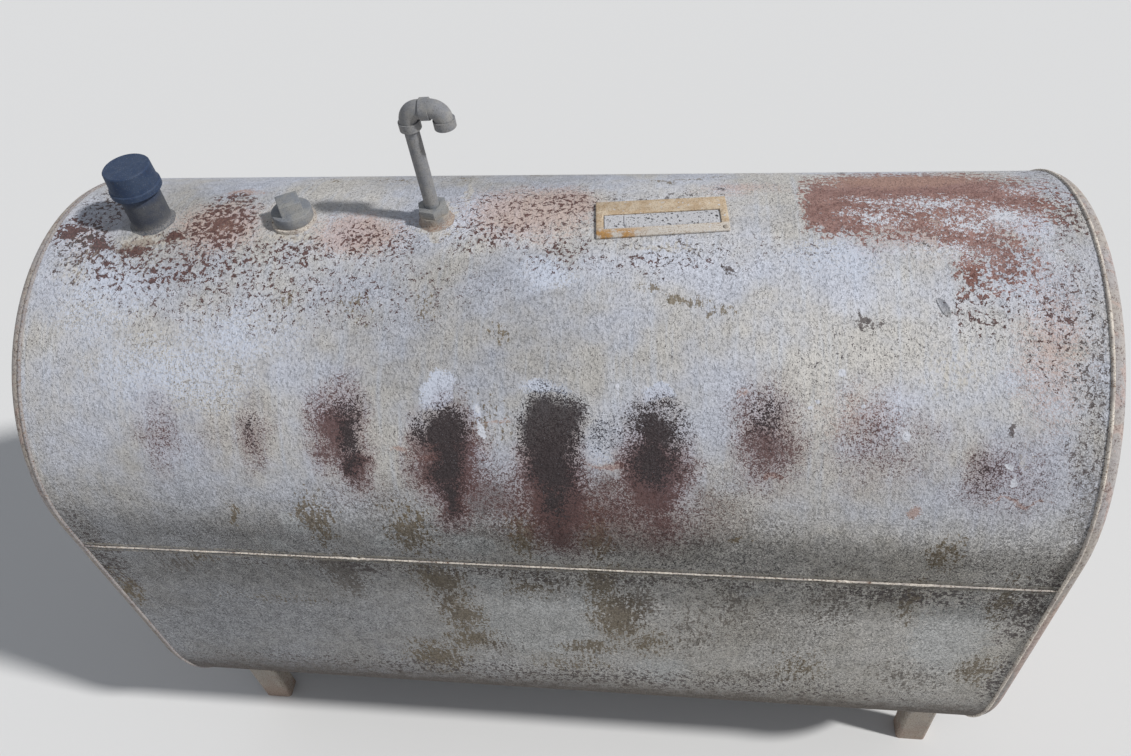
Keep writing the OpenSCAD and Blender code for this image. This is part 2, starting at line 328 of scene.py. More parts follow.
dimmer = [
    (-100, 190, 280, 190, 1.4), (-500, 800, 380, 330, 1.2), (300, 540, 420, 110, 1.1),
    (-10, 460, 260, 110, 1.5), (-560, 60, 170, 120, 1.1), (-560, 400, 240, 120, 0.5),
]
palePatch = {"side": "oneSide", "grain": "grit", "soft": 0.14, "share": 0.92, "colour": "patch", "spots": [
    (-121, 274, 32, 27, 2.8), (185, 271, 32, 16, 2.4), (28, 268, 44, 16, 1.5), (-60, 304, 10, 26, 2.2),
    (680, 14, 42, 34, 2.0), (25, 100, 60, 36, 1.1), (-640, 130, 120, 100, 0.8), (-520, 260, 180, 80, 0.7),
    (430, 70, 100, 44, 0.9), (-420, 200, 140, 70, 0.6), (110, 350, 50, 60, 0.7), (645, 366, 34, 40, 0.9),
]}
ochreRuns = {"side": "bothSides", "grain": "clump", "soft": 0.06, "share": 0.74, "colour": "ochre", "spots": [
    (-145, 160, 30, 46, 0.46), (-355, 150, 22, 26, 0.46), (-250, 155, 38, 40, 0.42),
    (-40, 190, 28, 24, 0.46), (178, 124, 40, 11, 0.76), (218, 141, 40, 11, 0.76), (256, 158, 36, 11, 0.67),
    (-457, 490, 10, 56, 0.84), (-330, 505, 42, 90, 0.92), (-185, 520, 60, 90, 0.92),
    (-12, 512, 50, 90, 0.88), (96, 500, 38, 96, 1.01), (585, 520, 42, 60, 0.8), (300, 500, 34, 14, 0.84),
    (-60, 320, 60, 60, 0.42), (-165, 650, 66, 80, 1.09), (-150, 760, 60, 130, 0.97),
    (-140, 850, 76, 70, 0.92), (-220, 930, 90, 96, 0.97), (95, 640, 54, 76, 1.13),
    (118, 740, 66, 140, 1.09), (60, 862, 80, 36, 0.84), (560, 650, 34, 96, 0.84), (692, 640, 34, 130, 0.8),
    (705, 860, 50, 96, 0.76), (-742, 730, 36, 96, 0.84), (-20, 660, 70, 66, 0.63), (170, 830, 80, 76, 0.67),
    (-560, 620, 60, 24, 0.59), (420, 900, 80, 110, 0.59), (-470, 740, 160, 26, 0.34),
    (30, 930, 120, 60, 0.5),
]}
brownRuns = {"side": "bothSides", "grain": "clump", "soft": 0.06, "share": 0.66, "colour": "grime", "spots": [
    (-322, 650, 44, 92, 1.2), (-335, 615, 70, 26, 0.95), (150, 690, 56, 140, 0.86),
    (-165, 700, 50, 120, 0.6), (20, 640, 60, 44, 0.69), (300, 680, 70, 160, 0.65),
    (450, 660, 70, 140, 0.65), (240, 780, 70, 160, 0.56), (600, 900, 120, 90, 0.6),
    (-610, 640, 60, 50, 0.65), (0, 622, 800, 24, 0.43), (-100, 880, 60, 70, 0.56), (350, 940, 200, 60, 0.6),
    (520, 640, 40, 60, 0.82), (730, 650, 40, 130, 0.69),
]}
pinkWash = {"side": "oneSide", "grain": "grit", "soft": 0.45, "share": 0.58, "colour": "rustLight", "spots": [
    (-265, 30, 110, 66, 1.2), (-15, -25, 150, 110, 1.25), (38, -40, 80, 60, 1.4), (-700, 40, 70, 80, 0.5),
    (450, 300, 100, 70, 0.6), (690, 200, 80, 180, 0.7), (560, -20, 220, 130, 1.1), (-490, 10, 110, 90, 1.2),
    (300, -90, 120, 40, 0.7),
]}
crestRust = {"side": "oneSide", "grain": "flecks", "soft": 0.03, "share": 0.92, "spots": [
    (-722, 24, 46, 44, 1.3), (-680, 62, 40, 42, 1.4), (-606, 66, 30, 28, 1.2), (-600, 53, 32, 17, 1.4),
    (-556, 38, 34, 16, 1.4), (-690, -40, 70, 60, 0.5), (-640, 100, 120, 30, 0.5), (-490, 4, 74, 84, 1.05),
    (-525, 96, 230, 60, 0.42), (-500, -70, 40, 20, 1.0), (-360, 70, 110, 50, 0.42),
    (-250, 50, 100, 46, 0.55), (-15, -30, 150, 90, 0.3), (44, -42, 70, 56, 0.46), (-60, 20, 120, 50, 0.4),
    (170, 78, 130, 40, 0.24), (-380, 130, 420, 90, 0.16), (200, 60, 500, 50, 0.08), (722, -25, 50, 95, 0.7),
    (700, 120, 60, 160, 0.34), (40, 60, 110, 50, 0.26), (590, 95, 20, 60, 1.1), (600, 150, 60, 60, 0.3),
]}
# the spot at the crest's left end, by the fill pipe, is partly dirt and partly painted shadow
pitSpots = {"side": "bothSides", "grain": "flecks", "soft": 0.04, "share": 0.85, "colour": "pit", "spots": [
    (735, 260, 36, 200, 0.38), (728, 640, 46, 160, 0.6), (-735, 620, 44, 140, 0.6), (460, 175, 20, 18, 0.7),
    (270, 90, 16, 14, 0.7), (530, 50, 16, 12, 0.8), (560, 620, 200, 50, 0.55), (0, 615, 700, 36, 0.4),
    (634, 304, 5, 11, 1.6), (240, 512, 26, 6, 0.9), (-700, 60, 60, 70, 0.5), (-300, 620, 60, 30, 0.8),
    (745, 900, 30, 120, 0.6), (180, 60, 110, 26, 0.3), (0, 980, 800, 60, 0.5),
]}
bigRust = {"side": "oneSide", "grain": "flecks", "soft": 0.16, "share": 0.92, "spots": [
    (545, -66, 230, 136, 1.8), (440, -8, 108, 56, 1.8), (600, 26, 66, 68, 1.6), (588, 84, 24, 60, 1.0),
    (664, -45, 90, 96, 1.5), (632, 64, 90, 90, 0.85), (420, -60, 60, 90, 1.5),
]}
orangeRust = {"side": "oneSide", "grain": "grit", "soft": 0.4, "share": 0.66, "colour": "orange", "spots": [
    (530, -118, 170, 46, 1.3), (-480, -85, 55, 16, 0.9), (125, 373, 74, 8, 1.0), (-180, 367, 28, 8, 1.1),
    (-142, 377, 28, 8, 1.1), (-35, 325, 46, 8, 0.6), (345, 385, 16, 14, 1.2), (300, 275, 16, 12, 1.0),
    (530, 437, 18, 14, 1.2), (655, 414, 66, 4, 0.9), (-484, 12, 60, 50, 0.4), (180, 420, 50, 40, 0.5),
    (70, 480, 40, 40, 0.5),
]}
maroonDrip = {"side": "bothSides", "grain": "grit", "soft": 0.28, "share": 0.86, "spots": [
    (-545, 350, 59, 115, 0.5), (-402, 350, 54, 82, 0.62), (-270, 336, 70, 112, 1.07),
    (-250, 392, 38, 70, 1.13), (-110, 378, 81, 125, 1.31), (-112, 444, 46, 90, 1.19),
    (38, 430, 78, 168, 1.49), (48, 505, 57, 95, 1.07), (182, 388, 76, 138, 1.37), (188, 475, 73, 105, 0.83),
    (328, 336, 76, 125, 0.82), (466, 326, 94, 115, 0.5), (530, 316, 68, 62, 0.35), (618, 372, 62, 82, 0.66),
    (644, 378, 122, 105, 0.45), (110, 450, 256, 125, 0.71), (-10, 440, 122, 112, 0.65),
    (480, 350, 130, 100, 0.42), (-470, 350, 170, 90, 0.22), (-250, 430, 110, 60, 0.3),
]}
blackDrip = {"side": "bothSides", "grain": "grit", "soft": 0.26, "share": 0.93, "spots": [
    (-402, 340, 27, 60, 0.47), (-258, 302, 49, 36, 0.69), (-254, 342, 29, 74, 0.98),
    (-252, 388, 22, 53, 0.83), (-117, 330, 54, 53, 1.31), (-112, 376, 39, 86, 1.25),
    (-113, 434, 24, 74, 1.04), (36, 324, 63, 79, 1.47), (42, 376, 54, 94, 1.36), (40, 440, 37, 91, 0.88),
    (184, 322, 63, 60, 1.31), (182, 364, 54, 74, 1.09), (332, 310, 39, 53, 0.62), (616, 372, 29, 53, 0.44),
    (110, 330, 73, 48, 0.45),
]}
chips = {"side": "oneSide", "soft": 0.06, "spots": [
    (560, -34, 140, 44, 0.66), (655, -5, 66, 46, 0.86), (480, -6, 90, 40, 0.62), (700, 60, 60, 130, 0.4),
    (560, 60, 110, 36, 0.5), (480, -46, 70, 22, 0.6), (690, -70, 50, 40, 0.55), (600, 10, 90, 50, 0.6),
]}
whiteSpots = {"side": "signed", "soft": 0.1, "spots": [
    (425, 240, 8, 7, 1.0), (385, 287, 5, 5, 1.0), (395, 279, 6, 5, 1.0), (453, 283, 4, 5, 1.0),
    (510, 323, 7, 12, 1.0), (130, 265, 6, 16, 0.7), (-60, 330, 10, 20, 0.9), (-64, 300, 7, 14, 0.7),
    (640, 358, 16, 12, 0.6), (650, 384, 10, 16, 0.6), (668, 350, 8, 10, 0.5),
]}
dustSpots = {"side": "oneSide", "grain": "clump", "soft": 0.35, "spots": [
    (-150, 26, 50, 26, 1.2), (-152, -24, 34, 44, 1.0), (-115, -80, 12, 60, 1.0), (-374, 38, 58, 20, 1.0),
    (-605, 48, 70, 22, 0.9), (570, 230, 90, 56, 0.6), (180, 55, 95, 15, 0.7), (655, 350, 30, 40, 0.4),
    (-700, 100, 60, 60, 0.5),
]}


def tankShade(name):
    return shade(tankFinish[name])


def markField(tree, skin, stain):
    return patches(tree, skin[stain["side"]], stain["spots"])


def spread(tree, skin, grain, stain):
    return broken(tree, markField(tree, skin, stain), grain[stain["grain"]], stain["soft"])


# lays a list of marks over the paint, in its own colour or in one that is given
def mark(tree, colour, skin, grain, stain, over=None):
    over = over or tankShade(stain["colour"])
    return lay(tree, colour, spread(tree, skin, grain, stain), stain["share"], over)


# the grains that mottle the paint and break its marks up
def makeGrains(tree, skin):
    grain = {}
    for name, (scale, detail, rough, twist, low, high) in tankGrains.items():
        grain[name] = rise(tree, noise(tree, skin["spot"], scale, detail, rough, twist=twist), low, high)
    grain["broad"] = noise(tree, skin["spot"], 7.0, 4.0, 0.6)
    grain["streak"] = noise(tree, stretched(tree, skin["same"], streakSize), 1.0, 3.0, 0.6)
    drag = rise(tree, noise(tree, stretched(tree, skin["same"], dragSize), 1.0, 4.0, 0.7), 0.3, 0.7)
    fine, medium, worm = grain["fine"], grain["medium"], grain["worm"]
    grain["grit"] = rise(tree, weigh(tree, (fine, 0.6), (medium, 0.4)), 0.08, 0.92)
    grain["clump"] = rise(tree, weigh(tree, (drag, 0.5), (medium, 0.35), (fine, 0.15)), 0.12, 0.88)
    grain["flecks"] = rise(tree, weigh(tree, (worm, 0.68), (fine, 0.32)), 0.1, 0.9)
    return grain


# adds to the skin its places with wandering edges, the lower half that is darker with dirt and painted shade,
# and the coarse paint by the seam
def findZones(tree, skin, grain):
    push = nudge(tree, skin["spot"], wander["amount"], wander["scale"])
    skin["oneSide"] = shifted(tree, skin["signed"], push)
    skin["bothSides"] = shifted(tree, skin["same"], push)
    lowWay = maths(tree, "ADD", skin["way"], times(tree, grain["streak"], 0.12))
    skin["low"] = rise(tree, lowWay, *tankZones["lowWay"])
    skin["seamAway"] = maths(tree, "ABSOLUTE", maths(tree, "SUBTRACT", skin["way"], seamWay))
    beside = rise(tree, skin["seamAway"], *tankZones["coarseAway"])
    skin["coarse"] = times(tree, beside, rise(tree, skin["along"], *tankZones["coarseAlong"]))


# mottled paint with bluish streaks, darker in the lower half, and more so to the left: partly dirt, partly
# painted shade
def baseCoat(tree, skin, grain):
    colour = mottled(tree, grain["broad"], (0.36, 0.66), (tankFinish["lilac"], tankFinish["warm"]))
    streaks = rise(tree, grain["streak"], 0.48, 0.72)
    colour = lay(tree, colour, streaks, tankShares["streaks"], tankShade("blue"))
    # the lower half is darkened with dirt and painted shade
    ends = (tankFinish["dirtAndShadeLeft"], tankFinish["dirtAndShadeRight"])
    dirt = mottled(tree, skin["along"], tankZones["dirtAndShadeAlong"], ends)
    colour = lay(tree, colour, skin["low"], tankShares["lowDirtAndShade"], dirt)
    # a grime band that is partly painted shade, then pale patches low down
    colour = mark(tree, colour, skin, grain, grimeAndShadeBand)
    return mark(tree, colour, skin, grain, lightLow)


# light and dark grain all over, partly paint grain and partly painted light and shade of the pitted relief,
# stronger low down and by the seam, in wide lighter and darker clouds
def addGrain(tree, colour, skin, grain):
    speckleAndReliefShade = weigh(tree, (grain["fine"], 0.36), (grain["medium"], 0.16), (grain["blotch"], 0.13))
    strength = maths(tree, "MULTIPLY_ADD", skin["low"], 1.1, 1.0)
    strength = maths(tree, "MULTIPLY_ADD", skin["coarse"], 1.6, strength)
    speckleAndReliefShade = times(tree, maths(tree, "SUBTRACT", speckleAndReliefShade, 0.31), strength)
    share = tankShares["clouds"]
    cloudy = times(tree, rise(tree, patches(tree, skin["bothSides"], brighter), 0.0, 0.9), share)
    dark = rise(tree, patches(tree, skin["bothSides"], dimmer), 0.0, 0.9)
    cloudy = maths(tree, "MULTIPLY_ADD", dark, -share, cloudy)
    light = maths(tree, "ADD", maths(tree, "ADD", speckleAndReliefShade, cloudy), 1.0)
    colour = cover(tree, 1.0, colour, light, "MULTIPLY")
    speck = times(tree, rise(tree, grain["grit"], 0.88, 0.98), rise(tree, grain["broad"], 0.4, 0.64))
    return cover(tree, speck, colour, tankShade("speck"))


# flecked rust and pits, and the big patch of rust behind its straight edge
def addRust(tree, colour, skin, grain):
    rustColour = cover(tree, grain["fine"], tankShade("rustDark"), tankShade("rust"))
    colour = mark(tree, colour, skin, grain, crestRust, rustColour)
    colour = mark(tree, colour, skin, grain, pitSpots)
    edge = maths(tree, "ADD", skin["along"], times(tree, grain["medium"], 0.012))
    edge = rise(tree, edge, *tankZones["bigRustAlong"])
    big = times(tree, markField(tree, skin, bigRust), edge)
    big = broken(tree, big, grain[bigRust["grain"]], bigRust["soft"])
    mixed = weigh(tree, (grain["grit"], 0.6), (grain["blotch"], 0.4))
    bigColour = cover(tree, mixed, tankShade("rust"), tankShade("rustMid"))
    colour = lay(tree, colour, big, bigRust["share"], bigColour)
    return mark(tree, colour, skin, grain, orangeRust)


# maroon drips in a thin wash, with black cores
def addDrips(tree, colour, skin, grain):
    skin["drips"] = markField(tree, skin, maroonDrip)
    wash = rise(tree, skin["drips"], 0.0, 0.9)
    colour = lay(tree, colour, wash, tankShares["wash"], tankShade("wash"))
    maroon = broken(tree, skin["drips"], grain[maroonDrip["grain"]], maroonDrip["soft"])
    colour = lay(tree, colour, maroon, maroonDrip["share"], tankShade("maroon"))
    black = spread(tree, skin, grain, blackDrip)
    blackColour = cover(tree, times(tree, grain["fine"], 0.5), tankShade("black"), tankShade("speck"))
    return lay(tree, colour, black, blackDrip["share"], blackColour)


# chips down to older paint, white spots, and pale salt in the drips
def addChips(tree, colour, skin, grain):
    chip = markField(tree, skin, chips)
    chip = broken(tree, chip, weigh(tree, (grain["worm"], 0.4), (grain["grit"], 0.6)), chips["soft"])
    white = markField(tree, skin, whiteSpots)
    white = broken(tree, white, maths(tree, "MULTIPLY_ADD", grain["worm"], 0.5, 0.1), whiteSpots["soft"])
    salt = times(tree, rise(tree, grain["fine"], 0.02, 0.0), rise(tree, skin["drips"], 0.1, 0.5))
    bare = maths(tree, "MAXIMUM", chip, white)
    bare = maths(tree, "MAXIMUM", bare, times(tree, salt, tankShares["salt"]))
    return cover(tree, bare, colour, tankShade("chip"))


# dirt and painted shadow beside the seam's bead, dust on the crest, a pale line under the bead that is dust
# and a painted highlight, and the dark underside
def addDust(tree, colour, skin, grain):
    # a dark band beside the seam's bead: dirt and a painted shadow
    dirt = rise(tree, skin["seamAway"], *tankZones["seamDirtAndShadowAway"])
    dirt = broken(tree, dirt, grain["grit"], 0.4)
    colour = lay(tree, colour, dirt, tankShares["seamDirtAndShadow"], tankShade("grime"))
    dust = spread(tree, skin, grain, dustSpots)
    # a pale line in the dust's colour beside the bead, partly a painted highlight of a second seam edge
    line = maths(tree, "ABSOLUTE", maths(tree, "SUBTRACT", skin["seamAway"], tankZones["seamHighlightLine"]))
    line = rise(tree, line, *tankZones["seamHighlightLineAway"])
    line = broken(tree, line, times(tree, grain["flecks"], 1.5), 0.15)
    colour = lay(tree, colour, maths(tree, "MAXIMUM", dust, line), tankShares["dust"], tankShade("dust"))
    under = maths(tree, "ADD", skin["way"], times(tree, grain["blotch"], 0.05))
    under = rise(tree, under, *tankZones["underWay"])
    return lay(tree, colour, under, tankShares["bottom"], tankShade("bottom"))


def tankPaint():
    material, tree = newMaterial("tankPaint", tankFinish["roughness"])
    skin = skinPlace(tree)
    grain = makeGrains(tree, skin)
    findZones(tree, skin, grain)
    colour = baseCoat(tree, skin, grain)
    colour = addGrain(tree, colour, skin, grain)
    for stain in (palePatch, ochreRuns, brownRuns, pinkWash):
        colour = mark(tree, colour, skin, grain, stain)
    colour = addRust(tree, colour, skin, grain)
    colour = addDrips(tree, colour, skin, grain)
    colour = addChips(tree, colour, skin, grain)
    colour = addDust(tree, colour, skin, grain)
    bumps = noise(tree, skin["spot"], 210.0, 3.0, 0.7)
    bumps = maths(tree, "MULTIPLY_ADD", rise(tree, bumps, 0.54, 0.66), 0.35, bumps)
    rough = maths(tree, "MULTIPLY_ADD", rise(tree, skin["way"], *tankZones["lowReliefWay"]), 1.4, 0.6)
    rough = maths(tree, "MULTIPLY_ADD", skin["coarse"], 8.0, rough)
    return finished(material, colour, times(tree, bumps, rough), tankFinish["depth"])


# zones are in metres: heights over the floor, places along the tank, or distances from the heads' middle
headFinish = {
    "paint": ((170, 165, 164), (174, 165, 155)),
    "dirt": (130, 124, 116),
    "dirtZone": (1.0, 0.3),
    "rimZone": (0.30, 0.35),
    "footZone": (0.34, 0.06),
    "roughness": 0.74,
    "depth": 0.0008,
}


def headPaint(finish):
    material, tree = newMaterial("headPaint", finish["roughness"])
    spot = objectPlace(tree)
    across, up = axes(tree, spot)[1:]
    lift = maths(tree, "SUBTRACT", up, heldHeight(tree, up))
    square = maths(tree, "MULTIPLY_ADD", lift, lift, times(tree, across, across))
    radial = maths(tree, "SQRT", square)
    fine = rise(tree, noise(tree, spot, 560.0, 2.0, 0.6), 0.3, 0.7)
    medium = rise(tree, noise(tree, spot, 150.0, 3.0, 0.65), 0.32, 0.68)
    broad = noise(tree, spot, 6.0, 4.0, 0.6)
    streak = noise(tree, stretched(tree, spot, (0.016, 0.016, 0.2)), 1.0, 3.0, 0.6)
    grit = weigh(tree, (fine, 0.55), (medium, 0.45))
    colour = mottled(tree, broad, (0.36, 0.6), finish["paint"])
    dirt = rise(tree, up, *finish["dirtZone"])
    colour = lay(tree, colour, dirt, 0.6, shade(finish["dirt"]))

    # streaks that run down, then grain, then rust at the rim, at the foot and in patches
    runs = rise(tree, streak, 0.42, 0.7)
    fade = rise(tree, up, 0.2, 1.2)
    runs = broken(tree, runs, weigh(tree, (grit, 0.5), (fade, 0.5)), 0.3)
    colour = lay(tree, colour, runs, 0.4, tankShade("rustLight"))
    light = maths(tree, "ADD", weigh(tree, (fine, 0.26), (medium, 0.2)), 0.66)
    colour = cover(tree, 1.0, colour, light, "MULTIPLY")
    rim = times(tree, rise(tree, radial, *finish["rimZone"]), 0.34)
    foot = times(tree, rise(tree, up, *finish["footZone"]), 0.9)
    patch = times(tree, rise(tree, broad, 0.5, 0.7), 0.7)
    rust = maths(tree, "MAXIMUM", maths(tree, "MAXIMUM", rim, foot), patch)
    rust = broken(tree, rust, grit, 0.14)
    rustColour = cover(tree, grit, tankShade("rustDark"), tankShade("rustLight"))
    colour = lay(tree, colour, rust, 0.75, rustColour)
    return finished(material, colour, noise(tree, spot, 210.0, 4.0, 0.7), finish["depth"])


# the beads are painted greyer at the tank's left end, a painted shade
weldFinish = {
    "paint": ((216, 207, 194), (180, 172, 164)),
    "end": (120, 117, 121),
    "brown": (132, 112, 96),
    "rust": (98, 76, 62),
    "shadeEndZone": (-0.70, -0.76),
    "roughness": 0.7,
    "depth": 0.0004,
}


def weldPaint(finish):
    material, tree = newMaterial("weldPaint", finish["roughness"])
    spot = objectPlace(tree)
    fine = noise(tree, spot, 420.0, 3.0, 0.65)
    broad = noise(tree, spot, 26.0, 4.0, 0.6)
    along = axes(tree, spot)[0]
    end = rise(tree, along, *finish["shadeEndZone"])
    colour = mottled(tree, broad, (0.4, 0.62), finish["paint"])
    # the greyer left end is painted shade
    colour = lay(tree, colour, end, 0.75, shade(finish["end"]))
    brown = rise(tree, noise(tree, spot, 90.0, 4.0, 0.7), 0.55, 0.7)
    colour = cover(tree, brown, colour, shade(finish["brown"]))
    colour = cover(tree, rise(tree, fine, 0.54, 0.64), colour, shade(finish["rust"]))
    return finished(material, colour, fine, finish["depth"])


# the fill pipe and its cap are darker and bluer than the plug and the vent, partly their own paint and partly
# painted shade, and the vent's foot is rusty
fittingFinish = {
    "cap": ((42, 57, 82), (56, 69, 90)),
    "fillPipePaintAndShade": ((64, 68, 78), (80, 82, 86)),
    "fitting": ((140, 139, 136), (120, 123, 128)),
    "ventPipe": ((124, 125, 128), (142, 140, 137)),
    "mottle": (0.35, 0.65),
    "dust": (176, 164, 148),
    "plugFoot": (150, 146, 142),
    "ventFoot": (136, 96, 78),
    "dark": (62, 58, 56),
    "chalk": (150, 150, 148),
    "plugAlong": (-0.5, -0.49),
    "ventAlong": (-0.3, -0.29),
    "pipeZone": (1.228, 1.236),
    "dustZone": (1.229, 1.212),
    "footZone": (1.216, 1.2),
    "roughness": 0.62,
    "depth": 0.00025,
}


def fittingPaint(finish):
    material, tree = newMaterial("fittingPaint", finish["roughness"])
    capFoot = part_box("fill_cap")[0].z
    mottle = finish["mottle"]
    spot = objectPlace(tree)
    parts = axes(tree, spot)
    along, up = parts[0], parts[2]
    fine = noise(tree, spot, 560.0, 3.0, 0.65)
    broad = noise(tree, spot, 48.0, 4.0, 0.6)
    # the cap's and the fill pipe's colours hold painted shade as well as their paint
    blue = mottled(tree, broad, mottle, finish["cap"])
    fillPipePaintAndShade = mottled(tree, broad, mottle, finish["fillPipePaintAndShade"])
    blue = cover(tree, rise(tree, up, capFoot, capFoot - 0.02), blue, fillPipePaintAndShade)
    grey = mottled(tree, broad, mottle, finish["fitting"])
    pipeZone = rise(tree, up, *finish["pipeZone"])
    pipe = times(tree, pipeZone, rise(tree, along, *finish["ventAlong"]))
    grey = cover(tree, pipe, grey, mottled(tree, broad, mottle, finish["ventPipe"]))
    colour = cover(tree, rise(tree, along, *finish["plugAlong"]), blue, grey)

    # dust and rust low on the fittings, then dark specks and pale chalk all over
    dustZone = rise(tree, up, *finish["dustZone"])
    dusty = times(tree, dustZone, rise(tree, along, *finish["ventAlong"]))
    dusty = times(tree, dusty, rise(tree, broad, 0.35, 0.6))
    colour = lay(tree, colour, dusty, 0.8, shade(finish["dust"]))
    foot = times(tree, rise(tree, up, *finish["footZone"]), rise(tree, fine, 0.42, 0.6))
    atVent = rise(tree, along, *finish["ventAlong"])
    footColour = cover(tree, atVent, shade(finish["plugFoot"]), shade(finish["ventFoot"]))
    colour = lay(tree, colour, foot, 0.7, footColour)
    colour = lay(tree, colour, rise(tree, fine, 0.5, 0.7), 0.55, shade(finish["dark"]))
    colour = lay(tree, colour, rise(tree, fine, 0.42, 0.3), 0.28, shade(finish["chalk"]))
    return finished(material, colour, noise(tree, spot, 300.0, 3.0, 0.6), finish["depth"])


legFinish = {
    "paint": ((158, 151, 142), (166, 156, 144)),
    "foot": (158, 132, 116),
    "rust": (104, 88, 78),
    "pale": (176, 172, 166),
    "footZone": (0.29, 0.2),
    "roughness": 0.8,
    "depth": 0.0007,
}


def legPaint(finish):
    material, tree = newMaterial("legPaint", finish["roughness"])
    spot = objectPlace(tree)
    fine = noise(tree, spot, 320.0, 3.0, 0.65)
    broad = noise(tree, spot, 25.0, 4.0, 0.6)
    up = axes(tree, spot)[2]
    foot = maths(tree, "MULTIPLY_ADD", fine, 0.10, maths(tree, "MULTIPLY_ADD", broad, 0.3, up))
    colour = mottled(tree, broad, (0.4, 0.6), finish["paint"])
    foot = rise(tree, foot, *finish["footZone"])
    colour = lay(tree, colour, foot, 0.6, shade(finish["foot"]))
    colour = lay(tree, colour, rise(tree, fine, 0.5, 0.64), 0.8, shade(finish["rust"]))
    colour = cover(tree, rise(tree, fine, 0.36, 0.3), colour, shade(finish["pale"]))
    return finished(material, colour, fine, finish["depth"])


# the plate's front rail is greyer than the rest, and rust-stained at its left end
plateFinish = {
    "paint": ((204, 187, 163), (186, 163, 134)),
    "rail": (194, 190, 184),
    "corner": (176, 134, 82),
    "brown": (132, 108, 84),
    "chip": (196, 196, 198),
    "slope": 0.087,
    "cornerAlong": (0.17, 0.13),
    "cornerAcross": (-0.024, -0.034),
    "railAcross": (-0.022, -0.032),
    "roughness": 0.72,
    "depth": 0.0009,
}


def platePaint(finish):
    material, tree = newMaterial("platePaint", finish["roughness"])
    spot = objectPlace(tree)
    fine = noise(tree, spot, 520.0, 3.0, 0.6)
    broad = noise(tree, spot, 55.0, 4.0, 0.65)
    along, across = axes(tree, spot)[:2]
    rail = maths(tree, "MULTIPLY_ADD", along, -finish["slope"], across)
    rail = maths(tree, "MULTIPLY_ADD", broad, 0.012, rail)
    cornerAlong = rise(tree, along, *finish["cornerAlong"])
    corner = times(tree, cornerAlong, rise(tree, rail, *finish["cornerAcross"]))
    colour = mottled(tree, broad, (0.38, 0.62), finish["paint"])
    front = rise(tree, rail, *finish["railAcross"])
    colour = lay(tree, colour, front, 0.8, shade(finish["rail"]))
    corner = times(tree, corner, rise(tree, broad, 0.4, 0.55))
    colour = cover(tree, corner, colour, shade(finish["corner"]))
    colour = lay(tree, colour, rise(tree, fine, 0.5, 0.64), 0.7, shade(finish["brown"]))
    chip = rise(tree, noise(tree, spot, 150.0, 3.0, 0.6), 0.62, 0.7)
    colour = cover(tree, chip, colour, shade(finish["chip"]))
    return finished(material, colour, noise(tree, spot, 260.0, 4.0, 0.7), finish["depth"])


panelFinish = {
    "paint": ((198, 198, 201), (160, 156, 154)),
    "chip": (62, 60, 62),
    "roughness": 0.72,
    "depth": 0.0005,
}


def panelPaint(finish):
    material, tree = newMaterial("panelPaint", finish["roughness"])
    spot = objectPlace(tree)
    fine = noise(tree, spot, 240.0, 3.0, 0.6)
    grain = noise(tree, spot, 600.0, 2.0, 0.6)
    colour = mottled(tree, grain, (0.4, 0.7), finish["paint"])
    colour = cover(tree, rise(tree, fine, 0.58, 0.62), colour, shade(finish["chip"]))
    return finished(material, colour, fine, finish["depth"])


def dress(nodeName, material):
    for place in nodes[nodeName].material_slots:
        place.material = material


paints = {
    "tank_paint": tankPaint(),
    "weld_paint": weldPaint(weldFinish),
    "fitting_paint": fittingPaint(fittingFinish),
    "leg_paint": legPaint(legFinish),
    "plate_paint": platePaint(plateFinish),
    "panel_paint": panelPaint(panelFinish),
}
slotOf = {part["node"]: part["material_slot"] for part in frame["record"]["subparts"]}
for nodeName, slotName in slotOf.items():
    dress(nodeName, paints[slotName])
headMaterial = headPaint(headFinish)
for nodeName in ("head_left", "head_right"):
    dress(nodeName, headMaterial)
print("materials are on")


# makes an object of a finished bmesh, rides it on the tank and gives it its paint
def addPiece(name, shape, slotName):
    bmesh.ops.recalc_face_normals(shape, faces=shape.faces[:])
    mesh = bpy.data.meshes.new(name)
    shape.to_mesh(mesh)
    shape.free()
    mesh.polygons.foreach_set("use_smooth", [True] * len(mesh.polygons))
    mesh.materials.append(paints[slotName])
    piece = bpy.data.objects.new(name, mesh)
    bpy.context.scene.collection.objects.link(piece)
    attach(piece, "root")
    return piece


sameSpot = 0.000001  # corners nearer than this are one


# a frame for one ring of a bead: its place, its way along the path, its outward side and its size
def ringFrame(place, along, outward, size):
    side = along.cross(outward).normalized()
    up = side.cross(along).normalized()
    turn = Matrix((side, up, along.normalized())).transposed().to_4x4()
    return Matrix.Translation(place) @ turn @ Matrix.Scale(size, 4)


# rolls a flat grid up into a tube that follows a list of frames
def dragBead(name, frames, slotName, closed=False, segments=10):
    shape = bmesh.new()
    last = len(frames) if closed else len(frames) - 1
    bmesh.ops.create_grid(shape, x_segments=segments, y_segments=last, size=1.0)
    for vert in shape.verts:
        angle = math.pi * (vert.co.x + 1.0)
        step = round((vert.co.y + 1.0) / 2.0 * last) % len(frames)
        vert.co = frames[step] @ Vector((math.cos(angle), math.sin(angle), 0.0))
    bmesh.ops.remove_doubles(shape, verts=shape.verts[:], dist=sameSpot)
    ends = [edge for edge in shape.edges if edge.is_boundary]
    if ends:
        bmesh.ops.holes_fill(shape, edges=ends)
    return addPiece(name, shape, slotName)


# a weld's changing thickness: ripples along it and slower lumps
def knobbly(travel, place, bead):
    wave = 0.5 - 0.5 * math.cos(math.tau * travel / bead["ripple"])
    lump = 0.5 + 0.5 * clouds.noise(place * bead["lumpScale"])
    return bead["radius"] * (1.0 - bead["rippleDepth"] * wave - bead["lumpDepth"] * lump)


